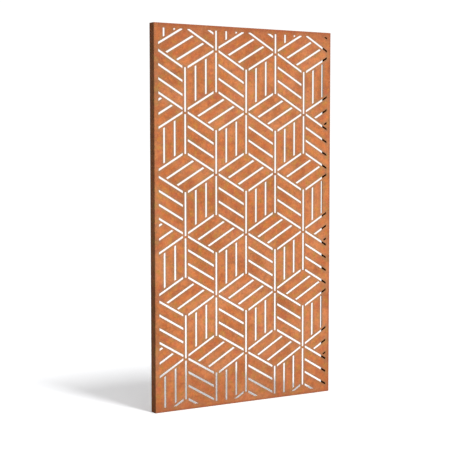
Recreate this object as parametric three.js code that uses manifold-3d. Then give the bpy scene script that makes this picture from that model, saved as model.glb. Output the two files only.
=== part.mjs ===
// Folded screen panel: a shallow tray of weathering steel sheet, its face cut through with slots
// that draw stacked, striped cubes.
// Millimetres. +X runs across the face, +Z is up and the face looks to -Y.
// The origin is on the rear face of the bottom lip, half way across the panel.

import * as THREE from 'three';
import * as BufferGeometryUtils from 'three/addons/utils/BufferGeometryUtils.js';
import Module from 'manifold-3d';

// The tray
const panelWidth = 1100;
const panelHeight = 2000;
const panelDepth = 50;
const sheet = 2;              // thickness of the steel, everywhere
const sideLip = 20;           // return along the back, turned in from each long side
const endLip = 12;            // the same at the top and the bottom
const bendInside = 2;         // inner radius of each fold
const bendSteps = 4;          // flats that stand for one fold

// The cut pattern
const rhombusEdge = 213.7;    // side of each face of a drawn cube
const firstRowDrop = 121;     // from the panel's top edge to the first points where six slots meet
const slotWidth = 10;
const bridge = 10;            // steel left between the end of a slot and the slot beside it
const faceBorder = 25;        // plain margin all round the pattern
const stripesPerFace = 2;     // slots that cut each face of a cube into equal bands
const threeWayOverrun = 8;    // how far an upright slot runs past a point where three slots meet
const sixWayOverrun = 5.5;    // the same for the slot above a point where six slots meet
const sixWayGap = 12.5;       // steel between the two upright slots at such a point
const smallestCut = 12;       // square millimetres: smaller clippings of slots are left uncut

const bendOutside = bendInside + sheet;
const cutterOverlap = 1;      // how far a cutting solid stands past what it cuts
const columnPitch = rhombusEdge * Math.cos(Math.PI / 6);
const originHeight = (bendOutside + endLip) / 2;

const corten = new THREE.MeshStandardMaterial({
  color: 0xb56c43, roughness: 0.85, metalness: 0.1,
});

const wasm = await Module();
wasm.setup();

function solidFrom(geometry) {
  const bare = geometry.clone();
  bare.deleteAttribute('normal');
  bare.deleteAttribute('uv');
  const merged = BufferGeometryUtils.mergeVertices(bare, 1e-4);
  const mesh = new wasm.Mesh({
    numProp: 3,
    vertProperties: new Float32Array(merged.attributes.position.array),
    triVerts: new Uint32Array(merged.index.array),
  });
  return new wasm.Manifold(mesh);
}

function geometryFrom(solid) {
  const mesh = solid.getMesh();
  const geometry = new THREE.BufferGeometry();
  geometry.setAttribute('position', new THREE.BufferAttribute(mesh.vertProperties, 3));
  geometry.setIndex(new THREE.BufferAttribute(mesh.triVerts, 1));
  geometry.computeVertexNormals();
  return geometry;
}

// An outline in the plane of the face, given as [x, z] points, made solid from front to back in y.
function faceExtrusion(points, front, back) {
  const shape = new THREE.Shape(points.map(([x, z]) => new THREE.Vector2(x, z)));
  const geometry = new THREE.ExtrudeGeometry(shape, { depth: back - front, bevelEnabled: false });
  geometry.rotateX(Math.PI / 2);
  geometry.translate(0, back, 0);
  return solidFrom(geometry);
}

// A rectangle with round corners: across is centred on 0, and deep runs from -deep/2 to deep/2.
function roundedRectangle(across, deep, radius) {
  const x = across / 2;
  const y = deep / 2;
  const shape = new THREE.Shape();
  shape.absarc(x - radius, y - radius, radius, 0, Math.PI / 2);
  shape.absarc(-x + radius, y - radius, radius, Math.PI / 2, Math.PI);
  shape.absarc(-x + radius, -y + radius, radius, Math.PI, 1.5 * Math.PI);
  shape.absarc(x - radius, -y + radius, radius, 1.5 * Math.PI, 2 * Math.PI);
  return shape;
}

// A block whose front and rear edges are folded round, on all four sides, with mitred corners.
function foldedBlock(width, height, depth, radius) {
  const centreY = -panelDepth / 2;
  const centreZ = panelHeight / 2;
  const plan = new THREE.ExtrudeGeometry(roundedRectangle(width, depth, radius), {
    depth: height, bevelEnabled: false, curveSegments: bendSteps,
  });
  plan.translate(0, centreY, centreZ - height / 2);
  const side = new THREE.ExtrudeGeometry(roundedRectangle(height, depth, radius), {
    depth: width, bevelEnabled: false, curveSegments: bendSteps,
  });
  side.rotateY(-Math.PI / 2);
  side.translate(width / 2, centreY, centreZ);
  return solidFrom(plan).intersect(solidFrom(side));
}

// The tray without its pattern: open at the back inside the four lips.
function tray() {
  const outside = foldedBlock(panelWidth, panelHeight, panelDepth, bendOutside);
  const inside = foldedBlock(
    panelWidth - 2 * sheet, panelHeight - 2 * sheet, panelDepth - 2 * sheet, bendInside,
  );
  const x = panelWidth / 2 - sideLip;
  const opening = faceExtrusion(
    [[-x, endLip], [x, endLip], [x, panelHeight - endLip], [-x, panelHeight - endLip]],
    -sheet - cutterOverlap,
    cutterOverlap,
  );
  return outside.subtract(inside).subtract(opening);
}

// One slot's outline, from the point p to the point q of its centre line. Each end is cut by a line
// that has the direction of startLine or endLine and lies startGap or endGap inside p or q.
function slotOutline(p, q, startLine, startGap, endLine, endGap) {
  const along = new THREE.Vector2().subVectors(q, p).normalize();
  const across = new THREE.Vector2(-along.y, along.x);
  const corner = (point, inward, line, gap, side) => {
    const normal = new THREE.Vector2(-line.y, line.x);
    if (normal.dot(inward) < 0) normal.negate();
    const offset = across.clone().multiplyScalar(side * slotWidth / 2);
    const run = (gap - normal.dot(offset)) / normal.dot(inward);
    const place = point.clone().add(offset).addScaledVector(inward, run);
    return [place.x, place.y];
  };
  const back = along.clone().negate();
  return [
    corner(p, along, startLine, startGap, -1),
    corner(q, back, endLine, endGap, -1),
    corner(q, back, endLine, endGap, 1),
    corner(p, along, startLine, startGap, 1),
  ];
}

// What is left of a convex outline on the inner side of one edge of the patterned window.
function clipOutline(points, axis, limit, side) {
  const kept = [];
  points.forEach((point, i) => {
    const next = points[(i + 1) % points.length];
    const inside = side * (limit - point[axis]);
    const nextInside = side * (limit - next[axis]);
    if (inside >= 0) kept.push(point);
    if (inside * nextInside < 0) {
      const t = inside / (inside - nextInside);
      kept.push([point[0] + t * (next[0] - point[0]), point[1] + t * (next[1] - point[1])]);
    }
  });
  return kept;
}

function outlineArea(points) {
  return Math.abs(THREE.ShapeUtils.area(points.map(([x, z]) => new THREE.Vector2(x, z))));
}

// The six edges that each drawn cube owns and the stripes on its three faces, as slot outlines.
// centre is the cube's middle corner, where its top, left and right faces meet.
function cubeSlots(centre) {
  const at = (columns, edges) => new THREE.Vector2(
    centre.x + columns * columnPitch,
    centre.y + edges * rhombusEdge,
  );
  const upright = new THREE.Vector2(0, 1);
  const level = new THREE.Vector2(1, 0);
  const rising = new THREE.Vector2(Math.cos(Math.PI / 6), 0.5);
  const falling = new THREE.Vector2(Math.cos(Math.PI / 6), -0.5);
  const beside = slotWidth / 2 + bridge;

  const middle = at(0, 0);
  const top = at(0, 1);
  const bottom = at(0, -1);
  const upperLeft = at(-1, 0.5);
  const upperRight = at(1, 0.5);
  const lowerLeft = at(-1, -0.5);
  const lowerRight = at(1, -0.5);

  const slots = [
    slotOutline(middle, upperLeft, upright, beside, upright, beside),
    slotOutline(middle, upperRight, upright, beside, upright, beside),
    slotOutline(bottom, lowerLeft, upright, beside, upright, beside),
    slotOutline(bottom, lowerRight, upright, beside, upright, beside),
    slotOutline(middle, bottom, level, -threeWayOverrun, level, -sixWayOverrun),
    slotOutline(upperRight, lowerRight, level, sixWayOverrun + sixWayGap, level, -threeWayOverrun),
  ];
  for (let stripe = 1; stripe <= stripesPerFace; stripe += 1) {
    const share = stripe / (stripesPerFace + 1);
    const between = (from, to) => from.clone().lerp(to, share);
    slots.push(
      slotOutline(between(upperLeft, middle), between(top, upperRight), falling, beside, falling, beside),
      slotOutline(between(upperLeft, lowerLeft), between(middle, bottom), upright, beside, upright, beside),
      slotOutline(between(middle, upperRight), between(bottom, lowerRight), rising, beside, rising, beside),
    );
  }
  return slots;
}

// Every slot of the face: cubes in staggered columns, clipped to the window inside the border.
function patternSlots() {
  const windowX = panelWidth / 2 - faceBorder;
  const rowPitch = 3 * rhombusEdge;
  const columns = Math.ceil(panelWidth / 2 / columnPitch) + 1;
  const rows = Math.ceil(panelHeight / rowPitch) + 1;
  const outlines = [];
  for (let column = -columns; column <= columns; column += 1) {
    const stagger = column % 2 === 0 ? rowPitch / 2 : 0;
    for (let row = -1; row <= rows; row += 1) {
      const sixWayPoint = panelHeight - firstRowDrop - stagger - row * rowPitch;
      const centre = new THREE.Vector2(column * columnPitch, sixWayPoint + rhombusEdge);
      outlines.push(...cubeSlots(centre));
    }
  }
  return outlines
    .map((points) => clipOutline(points, 0, windowX, 1))
    .map((points) => clipOutline(points, 0, -windowX, -1))
    .map((points) => clipOutline(points, 1, panelHeight - faceBorder, 1))
    .map((points) => clipOutline(points, 1, faceBorder, -1))
    .filter((points) => points.length > 2 && outlineArea(points) > smallestCut);
}

function slotCutters() {
  const front = -panelDepth - cutterOverlap;
  const back = -panelDepth + sheet + cutterOverlap;
  return wasm.Manifold.union(patternSlots().map((points) => faceExtrusion(points, front, back)));
}

const screenPanel = new THREE.Mesh(geometryFrom(tray().subtract(slotCutters())), corten);
screenPanel.name = 'screen_panel';
screenPanel.position.set(0, 0, -originHeight);

const model = new THREE.Group();
model.add(screenPanel);

export default model;
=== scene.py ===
import math

import bpy
import numpy as np
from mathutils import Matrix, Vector
from mathutils.geometry import delaunay_2d_cdt


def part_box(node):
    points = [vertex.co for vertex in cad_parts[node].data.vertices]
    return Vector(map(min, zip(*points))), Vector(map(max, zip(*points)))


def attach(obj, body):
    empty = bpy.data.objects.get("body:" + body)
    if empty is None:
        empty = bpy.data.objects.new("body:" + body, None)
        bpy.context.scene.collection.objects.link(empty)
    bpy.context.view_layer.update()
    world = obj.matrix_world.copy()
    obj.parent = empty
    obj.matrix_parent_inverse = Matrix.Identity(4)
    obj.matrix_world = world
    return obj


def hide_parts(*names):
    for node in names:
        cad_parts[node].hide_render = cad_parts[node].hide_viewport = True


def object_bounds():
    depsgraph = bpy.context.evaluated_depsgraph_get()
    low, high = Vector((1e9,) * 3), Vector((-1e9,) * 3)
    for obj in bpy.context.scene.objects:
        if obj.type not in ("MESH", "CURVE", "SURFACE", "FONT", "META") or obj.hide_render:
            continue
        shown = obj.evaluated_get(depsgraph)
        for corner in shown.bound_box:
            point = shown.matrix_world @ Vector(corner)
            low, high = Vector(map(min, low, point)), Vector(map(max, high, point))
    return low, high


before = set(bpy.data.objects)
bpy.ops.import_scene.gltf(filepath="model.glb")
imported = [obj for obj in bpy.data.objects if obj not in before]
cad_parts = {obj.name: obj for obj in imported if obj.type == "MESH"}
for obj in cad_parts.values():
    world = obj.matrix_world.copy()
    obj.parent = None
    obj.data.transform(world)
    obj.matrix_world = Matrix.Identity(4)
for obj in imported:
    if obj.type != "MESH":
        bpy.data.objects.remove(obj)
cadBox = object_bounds()
scene = bpy.context.scene
print("frame loaded")


def hexLinear(code):
    # an sRGB hex colour as the linear values that the shaders use: ((c + 0.055) / 1.055) ^ 2.4, or
    # c / 12.92 where it is very dark
    parts = [int(code[i:i + 2], 16) / 255 for i in (1, 3, 5)]
    linear = [c / 12.92 if c <= 0.04045 else ((c + 0.055) / 1.055) ** 2.4 for c in parts]
    return (*linear, 1.0)


def addNode(tree, kind, values=None, links=None, **settings):
    # one node with its settings, its sockets' values and the links that come into it
    node = tree.nodes.new(kind)
    for name, value in settings.items():
        setattr(node, name, value)
    for socket, value in (values or {}).items():
        node.inputs[socket].default_value = value
    for socket, source in (links or {}).items():
        tree.links.new(source, node.inputs[socket])
    return node


# Camera: the photograph's view, worked out from the regular pattern's perspective

view = {
    "place": (-3.3473, -5.4055, 1.3587),     # m, in the panel's frame
    "looks": (0.52191, 0.84969, -0.07489),   # direction of the picture's middle
    "lens": 89.95,                           # mm
    "sensor": 36,                            # mm wide
    "farthest": 200,                         # m
}

camera = bpy.data.objects.new("camera", bpy.data.cameras.new("camera"))
scene.collection.objects.link(camera)
camera.location = view["place"]
camera.rotation_euler = Vector(view["looks"]).to_track_quat("-Z", "Y").to_euler()
camera.data.lens = view["lens"]
camera.data.sensor_width = view["sensor"]
camera.data.clip_end = view["farthest"]
scene.camera = camera


# The panel: a folded rim, a wall round each slot, and the face filled between them

# lengths in metres
panel = {
    "sheet": 0.002,             # thickness of the steel
    "lips": (0.020, 0.012),     # returns along the back: at the sides, at the top and bottom
    "bendInside": 0.002,        # inner radius of the folds
    "bendSteps": 6,             # flats in each fold's section
    "lipEdge": 0.0003,          # rounding of the lips' cut edges
    "rimPitch": 0.025,          # spacing of the points along the sides
    "cornerRadius": 0.0012,     # where two sides meet, dressed after welding
    "cornerSteps": 6,           # flats round such a corner
    "seamDepth": 0.0004,        # how far the welded seam lies below the sheet
    "gridPitch": 0.025,         # spacing of the points that fill the face
    "gridClear": 0.006,         # and how far they keep from the darker and duller bands
    "edgeBand": 0.012,          # darker band inside each fold
    "leftPaintedShade": 0.45,           # the left side has no such band, but a duller, greyer tint: painted shade
    "innerSkin": 0.9,           # share of the sheet's thickness past which the inside starts
    "backPaintedShade": 0.45,          # how much of the painted shade inside the returns also lies on the face's back
    "footBand": 0.30,           # height of the darker foot
    "headBand": 0.13,           # the same under the top edge
    "headShare": 1.5,           # and how much darker than the foot
}

pattern = {
    "rhombusEdge": 0.2137,      # side of each face of a drawn cube
    "firstRowDrop": 0.121,      # top edge to the first points where six slots meet
    "slotWidth": 0.010,
    "bridge": 0.010,            # steel between a slot's end and the slot beside it
    "border": 0.025,            # plain margin all round the slots
    "stripes": 2,               # slots across each face of a cube
    "threeWayOverrun": 0.008,   # how far an upright slot runs past a point where three slots meet
    "sixWayOverrun": 0.0055,    # the same for the slot above a point where six slots meet
    "sixWayGap": 0.0125,        # steel between the two upright slots at such a point
    "smallestCut": 12e-6,       # square metres; smaller clippings of slots are left uncut
    "cornerRadius": 0.0008,     # what the cutting beam leaves in a slot's corners
    "cornerReach": 0.4,         # the most of an edge that one such corner takes
    "cornerSteps": 3,           # flats round such a corner
    "edgeRadius": 0.00035,      # rounding of the cut edges under the rust
    "edgeSteps": 3,             # flats in that rounding
    "dullBand": 0.017,          # duller steel round each slot, and the rows of points that carry it
    "dullRows": (0.006, 0.017),
    "dullPitch": 0.012,         # spacing of the points along those rows
    "dullClear": 0.8,           # they stay where no slot is nearer than this share of the distance
}


def nextInRing(ring):
    # for every point of many closed rings, laid end to end, the place of the point that follows it
    last = np.append(ring[1:] != ring[:-1], True)
    first = np.flatnonzero(np.append(True, ring[1:] != ring[:-1]))
    following = np.arange(1, len(ring) + 1)
    following[last] = first
    return following


def cubeCentres(width, height, low):
    # middle corners of the drawn cubes: columns a half rhombus wide apart, every other one staggered
    columnPitch = pattern["rhombusEdge"] * math.cos(math.pi / 6)
    rowPitch = 3 * pattern["rhombusEdge"]
    columns = math.ceil(width / 2 / columnPitch) + 1
    rows = math.ceil(height / rowPitch) + 1
    column, row = np.meshgrid(np.arange(-columns, columns + 1), np.arange(-1, rows + 1))
    stagger = np.where(column % 2 == 0, rowPitch / 2, 0)
    top = low + height - pattern["firstRowDrop"] + pattern["rhombusEdge"]
    return np.stack([column * columnPitch, top - stagger - row * rowPitch], axis=-1).reshape(-1, 2)


def slotAxes(centres):
    # centre lines of the slots that each cube owns, from p to q, with the line that cuts each end
    # and how far that line lies inside p or q
    edge = pattern["rhombusEdge"]
    step = np.array([edge * math.cos(math.pi / 6), edge])
    middle, top, bottom = np.array([[0, 0], [0, 1], [0, -1]]) * step
    upperLeft, upperRight = np.array([[-1, 0.5], [1, 0.5]]) * step
    lowerLeft, lowerRight = np.array([[-1, -0.5], [1, -0.5]]) * step
    upright, level = (0, 1), (1, 0)
    rising, falling = (math.cos(math.pi / 6), 0.5), (math.cos(math.pi / 6), -0.5)
    beside = pattern["slotWidth"] / 2 + pattern["bridge"]
    over3, over6 = pattern["threeWayOverrun"], pattern["sixWayOverrun"]
    slots = [
        (middle, upperLeft, upright, beside, upright, beside),
        (middle, upperRight, upright, beside, upright, beside),
        (bottom, lowerLeft, upright, beside, upright, beside),
        (bottom, lowerRight, upright, beside, upright, beside),
        (middle, bottom, level, -over3, level, -over6),
        (upperRight, lowerRight, level, over6 + pattern["sixWayGap"], level, -over3),
    ]
    for stripe in range(1, pattern["stripes"] + 1):
        share = stripe / (pattern["stripes"] + 1)
        faces = [
            (upperLeft, middle, top, upperRight, falling),
            (upperLeft, lowerLeft, middle, bottom, upright),
            (middle, upperRight, bottom, lowerRight, rising),
        ]
        for a, b, c, d, line in faces:
            slots.append((a + share * (b - a), c + share * (d - c), line, beside, line, beside))
    p, q, lineP, gapP, lineQ, gapQ = [np.array(column, float) for column in zip(*slots)]
    n = len(centres)
    p = (centres[:, None] + p).reshape(-1, 2)
    q = (centres[:, None] + q).reshape(-1, 2)
    return p, q, np.tile(lineP, (n, 1)), np.tile(gapP, n), np.tile(lineQ, (n, 1)), np.tile(gapQ, n)


def endCorners(point, inward, across, line, gap, side):
    # where one long edge of each slot meets the line that cuts its end:
    # point + side * half width * across + run * inward, with run set so that it lies gap off the line
    normal = np.stack([-line[:, 1], line[:, 0]], axis=1)
    normal *= np.sign((normal * inward).sum(axis=1))[:, None]
    offset = across * side * pattern["slotWidth"] / 2
    run = (gap - (normal * offset).sum(axis=1)) / (normal * inward).sum(axis=1)
    return point + offset + run[:, None] * inward


def clipRings(points, ring, axis, limit, side):
    # what is left of every convex ring on the inner side of one edge of the patterned window
    following = nextInRing(ring)
    inside = side * (limit - points[:, axis])
    kept = np.flatnonzero(inside >= 0)
    crossing = np.flatnonzero(inside * inside[following] < 0)
    share = inside[crossing] / (inside[crossing] - inside[following[crossing]])
    met = points[crossing] + share[:, None] * (points[following[crossing]] - points[crossing])
    order = np.argsort(np.concatenate([2 * kept, 2 * crossing + 1]))
    points = np.concatenate([points[kept], met])[order]
    return points, np.concatenate([ring[kept], ring[crossing]])[order]


def slotRings(width, height, low):
    # every slot's outline: a strip cut at both ends, then cut by the window inside the border
    p, q, lineP, gapP, lineQ, gapQ = slotAxes(cubeCentres(width, height, low))
    along = (q - p) / np.linalg.norm(q - p, axis=1)[:, None]
    across = np.stack([-along[:, 1], along[:, 0]], axis=1)
    corners = np.stack([
        endCorners(p, along, across, lineP, gapP, -1),
        endCorners(q, -along, across, lineQ, gapQ, -1),
        endCorners(q, -along, across, lineQ, gapQ, 1),
        endCorners(p, along, across, lineP, gapP, 1),
    ], axis=1)
    points = corners.reshape(-1, 2)
    ring = np.repeat(np.arange(len(corners)), 4)
    windowX = width / 2 - pattern["border"]
    for axis, limit, side in [
        (0, windowX, 1),
        (0, -windowX, -1),
        (1, low + height - pattern["border"], 1),
        (1, low + pattern["border"], -1),
    ]:
        points, ring = clipRings(points, ring, axis, limit, side)
    following = nextInRing(ring)
    x, z = points.T
    area = np.bincount(ring, x * z[following] - x[following] * z) / 2
    large = area[ring] > pattern["smallestCut"]
    return points[large], np.unique(ring[large], return_inverse=True)[1]


def roundRings(points, ring):
    # each corner becomes an arc: centre + radius * normal, the normal turning evenly from the edge
    # before the corner to the edge after it
    following = nextInRing(ring)
    before = np.empty_like(following)
    before[following] = np.arange(len(ring))
    toBefore = points[before] - points
    toNext = points[following] - points
    lengthBefore = np.linalg.norm(toBefore, axis=1)
    lengthNext = np.linalg.norm(toNext, axis=1)
    toBefore /= lengthBefore[:, None]
    toNext /= lengthNext[:, None]
    inner = np.arccos(np.clip((toBefore * toNext).sum(axis=1), -1, 1))
    reach = np.minimum(
        pattern["cornerRadius"] / np.tan(inner / 2),
        pattern["cornerReach"] * np.minimum(lengthBefore, lengthNext),
    )
    radius = reach * np.tan(inner / 2)
    middle = toBefore + toNext
    middle /= np.linalg.norm(middle, axis=1)[:, None]
    centre = points + middle * (radius / np.sin(inner / 2))[:, None]
    normalBefore = np.stack([-toBefore[:, 1], toBefore[:, 0]], axis=1)
    normalNext = np.stack([toNext[:, 1], -toNext[:, 0]], axis=1)
    share = np.linspace(0, 1, pattern["cornerSteps"] + 1)[None, :]
    turn = (math.pi - inner)[:, None]
    weightBefore = np.sin((1 - share) * turn) / np.sin(turn)
    weightNext = np.sin(share * turn) / np.sin(turn)
    normal = (
        weightBefore[..., None] * normalBefore[:, None]
        + weightNext[..., None] * normalNext[:, None]
    )
    arc = centre[:, None] + radius[:, None, None] * normal
    return arc.reshape(-1, 2), normal.reshape(-1, 2), np.repeat(ring, share.shape[1])


def slotWalls(points, normal, ring, front):
    # a profile carried round each outline: an arc that opens to the front, the straight cut, and the
    # same arc to the back; point = outline + offset * outward normal, at a depth
    turn = np.linspace(0, math.pi / 2, pattern["edgeSteps"] + 1)
    radius = pattern["edgeRadius"]
    offset = radius * (1 - np.sin(turn))
    depth = radius * (1 - np.cos(turn))
    offset = np.concatenate([offset, offset[::-1]])
    depth = np.concatenate([depth, panel["sheet"] - depth[::-1]])
    tilt = np.concatenate([turn, math.pi - turn[::-1]])
    flat = points[None] + offset[:, None, None] * normal[None]
    count = len(points)
    place = np.empty((len(offset), count, 3))
    place[..., 0] = flat[..., 0]
    place[..., 1] = front + depth[:, None]
    place[..., 2] = flat[..., 1]
    facing = np.empty_like(place)
    facing[..., 0] = -np.sin(tilt)[:, None] * normal[None, :, 0]
    facing[..., 1] = -np.cos(tilt)[:, None]
    facing[..., 2] = -np.sin(tilt)[:, None] * normal[None, :, 1]
    row = np.arange(len(offset) - 1)[:, None] * count
    here = np.arange(count)[None, :]
    following = nextInRing(ring)[None, :]
    deeper = row + count
    quads = np.stack([row + here, row + following, deeper + following, deeper + here], axis=-1)
    return place.reshape(-1, 3), facing.reshape(-1, 3), quads.reshape(-1, 4)


def rimProfile(depth, lip):
    # the folded section as (inset from the side, depth behind the front), with its outward normal:
    # outer fold, return, rear fold, lip, the lip's cut edge, and back along the inner surface
    sheet = panel["sheet"]
    inner = panel["bendInside"]
    outer = inner + sheet
    edge = panel["lipEdge"]
    turn = np.linspace(0, math.pi / 2, panel["bendSteps"] + 1)
    few = turn[::2]
    arcs = [
        # centre inset, centre depth, radius, start angle, turn, +1 where the arc is seen from outside
        (outer, outer, outer, turn, 1),
        (outer, depth - outer, outer, math.pi / 2 + turn, 1),
        (lip - edge, depth - edge, edge, math.pi + few, 1),
        (lip - edge, depth - sheet + edge, edge, 1.5 * math.pi + few, 1),
        (outer, depth - outer, inner, math.pi - turn, -1),
        (outer, outer, inner, math.pi / 2 - turn, -1),
    ]
    section, normal = [], []
    for inset, deep, radius, angle, facing in arcs:
        # at angle 0 the normal looks to the front, at a quarter turn to the side, at a half turn to
        # the back
        out = np.stack([-np.sin(angle), -np.cos(angle)], axis=1)
        section.append(np.array([inset, deep]) + radius * out)
        normal.append(facing * out)
    return np.concatenate(section), np.concatenate(normal)


def rimLoop(width, height, inset):
    # one closed loop at each pair of insets, from the sides and from the ends: corner arcs, tighter
    # towards the inside, joined by evenly spaced points; with the way out at each point, and whether
    # it is the middle of a corner, where the seam is
    steps = panel["cornerSteps"]
    radius = np.maximum(panel["cornerRadius"] - inset.min(axis=1), panel["cornerRadius"] / 4)
    reach = np.array([width, height]) / 2 - inset - radius[:, None]
    places, ways, seams = [], [], []
    for corner in range(4):
        angle = (corner + np.linspace(0, 1, steps + 1)) * math.pi / 2
        way = np.stack([np.cos(angle), np.sin(angle)], axis=1)
        quarter = np.sign(np.round(way[0] + way[-1]))
        arc = (quarter * reach)[:, None] + radius[:, None, None] * way[None]
        nextAngle = angle[-1]
        nextWay = np.array([math.cos(nextAngle), math.sin(nextAngle)])
        nextQuarter = np.sign(np.round(nextWay + [-nextWay[1], nextWay[0]]))
        nextStart = (nextQuarter * reach)[:, None] + (radius[:, None] * nextWay)[:, None]
        side = height if corner % 2 == 1 else width
        count = round(side / panel["rimPitch"])
        share = (np.arange(1, count) / count)[None, :, None]
        line = arc[:, -1:] + share * (nextStart - arc[:, -1:])
        places += [arc, line]
        ways += [way, np.repeat(nextWay[None], count - 1, axis=0)]
        seams += [np.arange(steps + 1) == steps // 2, np.zeros(count - 1, bool)]
    return np.concatenate(places, axis=1), np.concatenate(ways), np.concatenate(seams)


def rimSurface(width, height, depth, front, low):
    # the folded section carried round the rectangle; the seams sink into each corner of the returns
    # and lips, and fade out towards the face
    section, facing = rimProfile(depth, panel["lips"][0])
    endSection = rimProfile(depth, panel["lips"][1])[0]
    loops, way, seam = rimLoop(width, height, np.stack([section[:, 0], endSection[:, 0]], axis=1))
    rows, count = loops.shape[:2]
    place = np.empty((rows, count, 3))
    place[..., 0] = loops[..., 0]
    place[..., 1] = front + section[:, 1, None]
    place[..., 2] = low + height / 2 + loops[..., 1]
    normal = np.empty_like(place)
    normal[..., 0] = -facing[:, 0, None] * way[None, :, 0]
    normal[..., 1] = facing[:, 1, None]
    normal[..., 2] = -facing[:, 0, None] * way[None, :, 1]
    fade = np.clip((section[:, 1] - panel["sheet"] * 2) / panel["sheet"], 0, 1)
    place -= normal * (panel["seamDepth"] * fade[:, None] * seam[None, :])[..., None]
    row = np.arange(rows - 1)[:, None] * count
    here = np.arange(count)[None, :]
    following = np.roll(here, -1, axis=1)
    nextRow = row + count
    quads = np.stack([row + here, nextRow + here, nextRow + following, row + following], axis=-1)
    return place.reshape(-1, 3), normal.reshape(-1, 3), quads.reshape(-1, 4), count


def clearance(places, corners, ring):
    # distance from each place to the nearest slot; to a convex outline it is the greatest of the
    # distances to the lines of its edges
    along = corners[nextInRing(ring)] - corners
    along /= np.linalg.norm(along, axis=1)[:, None]
    out = np.stack([along[:, 1], -along[:, 0]], axis=1)
    off = places @ out.T - (corners * out).sum(axis=1)
    first = np.flatnonzero(np.append(True, ring[1:] != ring[:-1]))
    return np.maximum.reduceat(off, first, axis=1).min(axis=1)


def bandPoints(points, normal, ring, offset, corners, cornerRing):
    # places along every outline, moved out by the offset, where no other slot is much nearer
    following = nextInRing(ring)
    length = np.linalg.norm(points[following] - points, axis=1)
    count = np.ceil(length / pattern["dullPitch"]).astype(int)
    source = np.repeat(np.arange(len(points)), count)
    turn = np.arange(len(source)) - np.repeat(np.cumsum(count) - count, count)
    share = (turn / count[source])[:, None]
    along = points[source] + share * (points[following[source]] - points[source])
    band = along + normal[source] * offset
    return band[clearance(band, corners, cornerRing) > pattern["dullClear"] * offset]


def fillGrid(width, height, low):
    # evenly spaced points inside the edge band
    inset = panel["bendInside"] + panel["sheet"] + panel["edgeBand"] + panel["gridClear"]
    across = np.linspace(-width / 2 + inset, width / 2 - inset, round(width / panel["gridPitch"]))
    up = np.linspace(low + inset, low + height - inset, round(height / panel["gridPitch"]))
    return np.stack(np.meshgrid(across, up), axis=-1).reshape(-1, 2)


def fillFace(outlines, rings, holes, grid):
    # triangles inside the outermost outline, between the outlines and the grid's points, as places
    # in that order; one with all its corners on one slot's outline lies in the slot and is left out,
    # and points nearer than merge, in metres, become one
    flat = np.concatenate([outlines, grid])
    edges = np.stack([np.arange(len(rings)), nextInRing(rings)], axis=1)
    insideOnly, merge = 1, 1e-7
    made = delaunay_2d_cdt([Vector(p) for p in flat.tolist()], edges.tolist(), [], insideOnly, merge)
    origin = np.array([source[0] for source in made[3]])
    triangles = origin[np.array(made[2])]
    owner = np.concatenate([np.where(holes, rings, -1), np.full(len(grid), -1)])[triangles]
    inSlot = (owner[:, 0] == owner[:, 1]) & (owner[:, 1] == owner[:, 2]) & (owner[:, 0] >= 0)
    return triangles[~inSlot]


def addTint(mesh, name, values):
    # a number from 0 up at every point, which the rust reads by its name
    tint = mesh.attributes.new(name, "FLOAT", "POINT")
    tint.data.foreach_set("value", np.ascontiguousarray(values, dtype=np.float32))


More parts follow.
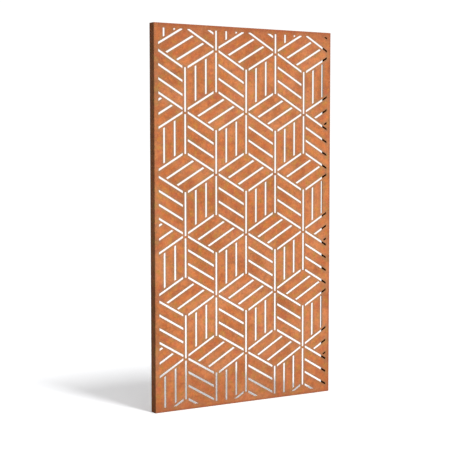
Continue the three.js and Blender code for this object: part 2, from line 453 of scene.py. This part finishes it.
def buildPanel(name):
    # rim, slot walls and both sides of the face share their points, so the mesh is one closed skin
    low, high = [np.array(corner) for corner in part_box("screen_panel")]
    width, depth, height = high - low
    front = low[1]
    corners, cornerRing = slotRings(width, height, low[2])
    points, outward, ring = roundRings(corners, cornerRing)
    slotCount = ring.max() + 1
    print("slots:", slotCount)

    rim, rimNormal, rimQuads, rimCount = rimSurface(width, height, depth, front, low[2])
    walls, wallNormal, wallQuads = slotWalls(points, outward, ring, front)
    bandInset = panel["bendInside"] + panel["sheet"] + panel["edgeBand"]
    edgeLoop = rimLoop(width, height, np.array([[bandInset, bandInset]]))[0][0]
    edgeLoop = edgeLoop + [0, low[2] + height / 2]
    band = np.concatenate([
        bandPoints(points, outward, ring, offset, corners, cornerRing)
        for offset in pattern["dullRows"]
    ])
    inside = np.abs(band - [0, low[2] + height / 2]) < np.array([width, height]) / 2 - bandInset
    band = band[inside.all(axis=1)]
    grid = fillGrid(width, height, low[2])
    grid = grid[clearance(grid, corners, cornerRing) > pattern["dullBand"] + panel["gridClear"]]

    # the flat sheet's points: the rim and the slots' edges are there already, the rest is new
    newPlaces = np.concatenate([edgeLoop, band, grid])
    outlines = np.concatenate([rim[:rimCount][:, [0, 2]], walls[:len(points)][:, [0, 2]], edgeLoop])
    rings = np.concatenate([
        np.full(rimCount, slotCount), ring, np.full(len(edgeLoop), slotCount + 1),
    ])
    triangles = fillFace(outlines, rings, rings < slotCount, np.concatenate([band, grid]))

    wallStart = len(rim)
    newStart = wallStart + len(walls)
    slotsHere = np.arange(len(points))
    newHere = np.arange(len(newPlaces))
    frontPlaces = np.concatenate([np.arange(rimCount), wallStart + slotsHere, newStart + newHere])
    backPlaces = np.concatenate([
        wallStart - rimCount + np.arange(rimCount),
        newStart - len(points) + slotsHere,
        newStart + len(newPlaces) + newHere,
    ])
    flat = np.insert(newPlaces, 1, front, axis=1)
    vertices = np.concatenate([rim, walls, flat, flat + [0, panel["sheet"], 0]])
    normals = np.concatenate([
        rimNormal, wallNormal,
        np.tile([0.0, -1.0, 0.0], (len(flat), 1)), np.tile([0.0, 1.0, 0.0], (len(flat), 1)),
    ])
    quads = np.concatenate([rimQuads, wallQuads + wallStart])
    triangles = np.concatenate([frontPlaces[triangles], backPlaces[triangles[:, ::-1]]])

    mesh = bpy.data.meshes.new(name)
    mesh.from_pydata(vertices.tolist(), [], quads.tolist() + triangles.tolist())
    mesh.shade_smooth()
    # the exact normals, so that the small roundings shade round and the sheet stays flat
    mesh.normals_split_custom_set_from_vertices(normals.tolist())

    # cut: 1 in the slots; the duller tint: 1 beside them, 0 past the band, and on the left side some
    # as painted shade; edge: 1 from the other folds outwards, 0 inside the band; ends: 1 at the bottom
    # and more at the top, falling evenly to 0; inner, painted shade: 1 inside the returns and lips,
    # less on the back of the face
    near = np.clip(1 - clearance(newPlaces, corners, cornerRing) / pattern["dullBand"], 0, 1)
    beside = np.zeros(len(walls))
    beside[:len(points)] = beside[-len(points):] = 1
    cut = np.zeros(len(vertices))
    cut[wallStart:newStart] = 1 - beside
    # the left side of the rim: painted shade, a duller tint and no darker fold band
    left = rim[:, 0] < low[0] + bandInset
    scaleAndShade = np.concatenate([left * panel["leftPaintedShade"], beside, near, near])
    edge = np.zeros(len(vertices))
    edge[:wallStart] = ~left
    # painted shade inside the returns and lips, and less of it on the back of the face
    hollow = (high - low) / 2 - panel["innerSkin"] * panel["sheet"]
    inner = (np.abs(vertices - (low + high) / 2) < hollow).all(axis=1).astype(float)
    inner[wallStart:] *= panel["backPaintedShade"]
    foot = np.clip(1 - (vertices[:, 2] - low[2]) / panel["footBand"], 0, 1)
    head = np.clip(1 - (high[2] - vertices[:, 2]) / panel["headBand"], 0, 1) * panel["headShare"]
    addTint(mesh, "cut", cut)
    addTint(mesh, "scaleAndShade", scaleAndShade)
    addTint(mesh, "edge", edge)
    addTint(mesh, "ends", np.maximum(foot, head))
    addTint(mesh, "inner", inner)
    piece = bpy.data.objects.new(name, mesh)
    scene.collection.objects.link(piece)
    return piece


screenPanel = buildPanel("corten_panel")
print("panel:", len(screenPanel.data.vertices), "vertices,", len(screenPanel.data.polygons), "faces")


# Corten steel, rusted in the open

rust = {
    "body": "#b56129",          # the even orange brown
    "layers": [
        # patch size (m), detail, roughness, noise where it starts and is full, share, colour
        (0.350, 2.0, 0.50, 0.44, 0.62, 0.70, "#995123"),
        (0.220, 2.0, 0.50, 0.45, 0.62, 0.70, "#c67e50"),
        (0.130, 2.0, 0.50, 0.46, 0.62, 0.70, "#99501d"),
        (0.085, 3.0, 0.55, 0.46, 0.62, 0.62, "#ca7a45"),
        (0.050, 3.0, 0.55, 0.48, 0.66, 0.58, "#a95135"),
        (0.036, 3.0, 0.55, 0.50, 0.68, 0.55, "#a57e2a"),
        (0.024, 3.0, 0.60, 0.47, 0.72, 0.46, "#815037"),
        (0.016, 3.0, 0.60, 0.47, 0.72, 0.45, "#dd7c37"),
        (0.009, 3.0, 0.65, 0.45, 0.75, 0.52, "#7a4525"),
        (0.0045, 2.0, 0.70, 0.45, 0.75, 0.42, "#ce7d40"),   # grain, about 1 mm on the real skin
    ],
    "cut": ("#e8923f", 0.80),     # bright young rust on the cut edges, and its share
    "scaleAndShade": ("#7b6d52", 0.50),    # scale that the cutting beam leaves along the slots, and painted shade on the left side
    "edge": ("#84462a", 0.55),    # darker on the folds, returns and lips, and in a band on the face inside them
    "ends": ("#934b24", 0.35),    # darker near the ground and under the top edge
    "inner": ("#28110a", 1.00),   # painted shade inside the returns and lips, nearly black
    "layerShift": 3.7,            # sets the layers' noises apart
    "raggedSize": 0.012,          # noise that breaks up the tints and the gloss
    "raggedDetail": 3.0,
    "raggedRange": (0.3, 0.7),    # what it spans, spread over the roughness
    "roughness": (0.80, 0.95),
    "metallic": 0.0,              # the eye sees oxide, no bare metal
    "ior": 1.5,
    "gritSize": 0.0045,           # drawn as coarse as the finest layer
    "gritDetail": 4.0,
    "gritRoughness": 0.7,
    "gritHeight": 0.0004,
    "gritStrength": 0.6,
}


def makeRust(name):
    # weathering grows a dense matte skin of iron oxides, so the eye sees an even orange brown,
    # clouded on the scale of a hand and mottled and grained below that
    material = bpy.data.materials.new(name)
    material.use_nodes = True
    tree = material.node_tree
    tree.nodes.clear()
    where = addNode(tree, "ShaderNodeTexCoord").outputs["Object"]

    # in a colour mix, socket 0 is the share, 6 the colour below and 7 the one laid over it
    colour = None
    for seed, (size, detail, coarse, start, full, share, tint) in enumerate(rust["layers"]):
        patches = addNode(
            tree, "ShaderNodeTexNoise",
            {
                "Scale": 1 / size, "Detail": detail, "Roughness": coarse,
                "W": seed * rust["layerShift"],
            },
            {"Vector": where}, noise_dimensions="4D",
        )
        amount = addNode(
            tree, "ShaderNodeMapRange", {"From Min": start, "From Max": full, "To Max": share},
            {"Value": patches.outputs["Fac"]}, interpolation_type="SMOOTHSTEP",
        )
        links = {0: amount.outputs["Result"]}
        if colour:
            links[6] = colour
        mix = addNode(
            tree, "ShaderNodeMix", {6: hexLinear(rust["body"]), 7: hexLinear(tint)}, links,
            data_type="RGBA",
        )
        colour = mix.outputs[2]

    # the tints that follow the shape, painted shade inside the returns and on the left side among
    # them, broken up by a little noise, which lies about a half
    ragged = addNode(
        tree, "ShaderNodeTexNoise",
        {"Scale": 1 / rust["raggedSize"], "Detail": rust["raggedDetail"]}, {"Vector": where},
    ).outputs["Fac"]
    for band in ("cut", "scaleAndShade", "edge", "ends", "inner"):
        tint, share = rust[band]
        follow = addNode(tree, "ShaderNodeAttribute", attribute_name=band).outputs["Fac"]
        broken = addNode(
            tree, "ShaderNodeMath", {1: 2 * share}, {0: ragged}, operation="MULTIPLY",
        ).outputs[0]
        amount = addNode(
            tree, "ShaderNodeMath", {}, {0: follow, 1: broken}, operation="MULTIPLY", use_clamp=True,
        ).outputs[0]
        colour = addNode(
            tree, "ShaderNodeMix", {7: hexLinear(tint)}, {0: amount, 6: colour}, data_type="RGBA",
        ).outputs[2]

    grit = addNode(
        tree, "ShaderNodeTexNoise",
        {
            "Scale": 1 / rust["gritSize"], "Detail": rust["gritDetail"],
            "Roughness": rust["gritRoughness"],
        },
        {"Vector": where},
    ).outputs["Fac"]
    matte = addNode(
        tree, "ShaderNodeMapRange",
        {
            "From Min": rust["raggedRange"][0], "From Max": rust["raggedRange"][1],
            "To Min": rust["roughness"][0], "To Max": rust["roughness"][1],
        },
        {"Value": ragged},
    ).outputs["Result"]
    bump = addNode(
        tree, "ShaderNodeBump", {"Strength": rust["gritStrength"], "Distance": rust["gritHeight"]},
        {"Height": grit},
    ).outputs["Normal"]
    shader = addNode(
        tree, "ShaderNodeBsdfPrincipled", {"Metallic": rust["metallic"], "IOR": rust["ior"]},
        {"Base Color": colour, "Roughness": matte, "Normal": bump},
    )
    addNode(tree, "ShaderNodeOutputMaterial", links={"Surface": shader.outputs["BSDF"]})
    return material


screenPanel.data.materials.append(makeRust("weathered corten steel"))
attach(screenPanel, "root")
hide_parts("screen_panel")
print("rust made")


# Floor and light: a white floor, a tall soft box high in front, and a room dark on the left

studio = {
    "floorSize": 22.0,               # m, square
    "floorColour": "#f1f2f4",
    "floorGlow": 0.289,              # keeps the shadow pale
    "boxDirection": (-79.5, 65.0),   # where the soft box stands: turn from +X and height, degrees
    "boxAim": (0.0, 0.0, 1.0),       # about the middle of the panel, where it looks
    "boxDistance": 120.0,            # m
    "boxSize": (11.8, 28.9),         # m, across and up
    "boxPower": 75900.0,             # W
    "roomWhite": 1.05,               # how bright the room is to the camera
    "roomGlow": 0.08,                # light from everywhere
    "glows": [
        # direction, how bright, how narrow
        ((0.25, -0.97, 0.0), 2.80, 3.0),
        ((0.55, 0.80, 0.25), 1.00, 3.0),
        ((-1.00, 0.0, 0.0), 0.13, 3.0),
    ],
}


def addSoftBox(name):
    # a rectangle of light: aim + distance * direction, turned back to the aim
    turn, height = [math.radians(angle) for angle in studio["boxDirection"]]
    toBox = Vector((
        math.cos(height) * math.cos(turn), math.cos(height) * math.sin(turn), math.sin(height),
    ))
    box = bpy.data.lights.new(name, "AREA")
    box.shape = "RECTANGLE"
    box.size, box.size_y = studio["boxSize"]
    box.energy = studio["boxPower"]
    lamp = bpy.data.objects.new(name, box)
    lamp.location = Vector(studio["boxAim"]) + toBox * studio["boxDistance"]
    lamp.rotation_euler = (-toBox).to_track_quat("-Z", "Y").to_euler()
    scene.collection.objects.link(lamp)


def buildFloor(name):
    # a flat square at the panel's lowest point, of rolled matte white paper, which shows no gloss
    half = studio["floorSize"] / 2
    low = cadBox[0][2]
    corners = [(-half, -half, low), (half, -half, low), (half, half, low), (-half, half, low)]
    mesh = bpy.data.meshes.new(name)
    mesh.from_pydata(corners, [], [(0, 1, 2, 3)])
    floor = bpy.data.objects.new(name, mesh)
    scene.collection.objects.link(floor)
    material = bpy.data.materials.new("matte white paper")
    material.use_nodes = True
    shader = material.node_tree.nodes["Principled BSDF"]
    shader.inputs["Base Color"].default_value = hexLinear(studio["floorColour"])
    shader.inputs["Roughness"].default_value = 1.0
    shader.inputs["Specular IOR Level"].default_value = 0.0
    shader.inputs["Emission Color"].default_value = (1, 1, 1, 1)
    shader.inputs["Emission Strength"].default_value = studio["floorGlow"]
    mesh.materials.append(material)
    # the panel's light from below comes from the room alone
    floor.visible_diffuse = False
    return floor


def makeRoom():
    # white to the camera; as light, an even glow and the sum of brightness * cosine ^ narrowness
    world = bpy.data.worlds.new("room")
    world.use_nodes = True
    tree = world.node_tree
    tree.nodes.clear()
    way = addNode(tree, "ShaderNodeTexCoord").outputs["Generated"]
    total = addNode(tree, "ShaderNodeValue").outputs[0]
    total.default_value = studio["roomGlow"]
    for direction, bright, narrow in studio["glows"]:
        cosine = addNode(
            tree, "ShaderNodeVectorMath", {1: Vector(direction).normalized()}, {0: way},
            operation="DOT_PRODUCT",
        ).outputs["Value"]
        facing = addNode(tree, "ShaderNodeMath", {1: 0.0}, {0: cosine}, operation="MAXIMUM").outputs[0]
        lobe = addNode(tree, "ShaderNodeMath", {1: narrow}, {0: facing}, operation="POWER").outputs[0]
        total = addNode(
            tree, "ShaderNodeMath", {1: bright}, {0: lobe, 2: total}, operation="MULTIPLY_ADD",
        ).outputs[0]
    # in a number mix, socket 0 is the share, 2 what the lit pieces see and 3 what the camera sees
    seen = addNode(tree, "ShaderNodeLightPath").outputs["Is Camera Ray"]
    strength = addNode(
        tree, "ShaderNodeMix", {3: studio["roomWhite"]}, {0: seen, 2: total}, data_type="FLOAT",
    ).outputs[0]
    back = addNode(tree, "ShaderNodeBackground", {"Color": (1, 1, 1, 1)}, {"Strength": strength})
    addNode(tree, "ShaderNodeOutputWorld", links={"Surface": back.outputs["Background"]})
    scene.world = world


addSoftBox("soft box")
makeRoom()
buildFloor("floor")
scene.view_settings.view_transform = "Standard"
print("studio made")
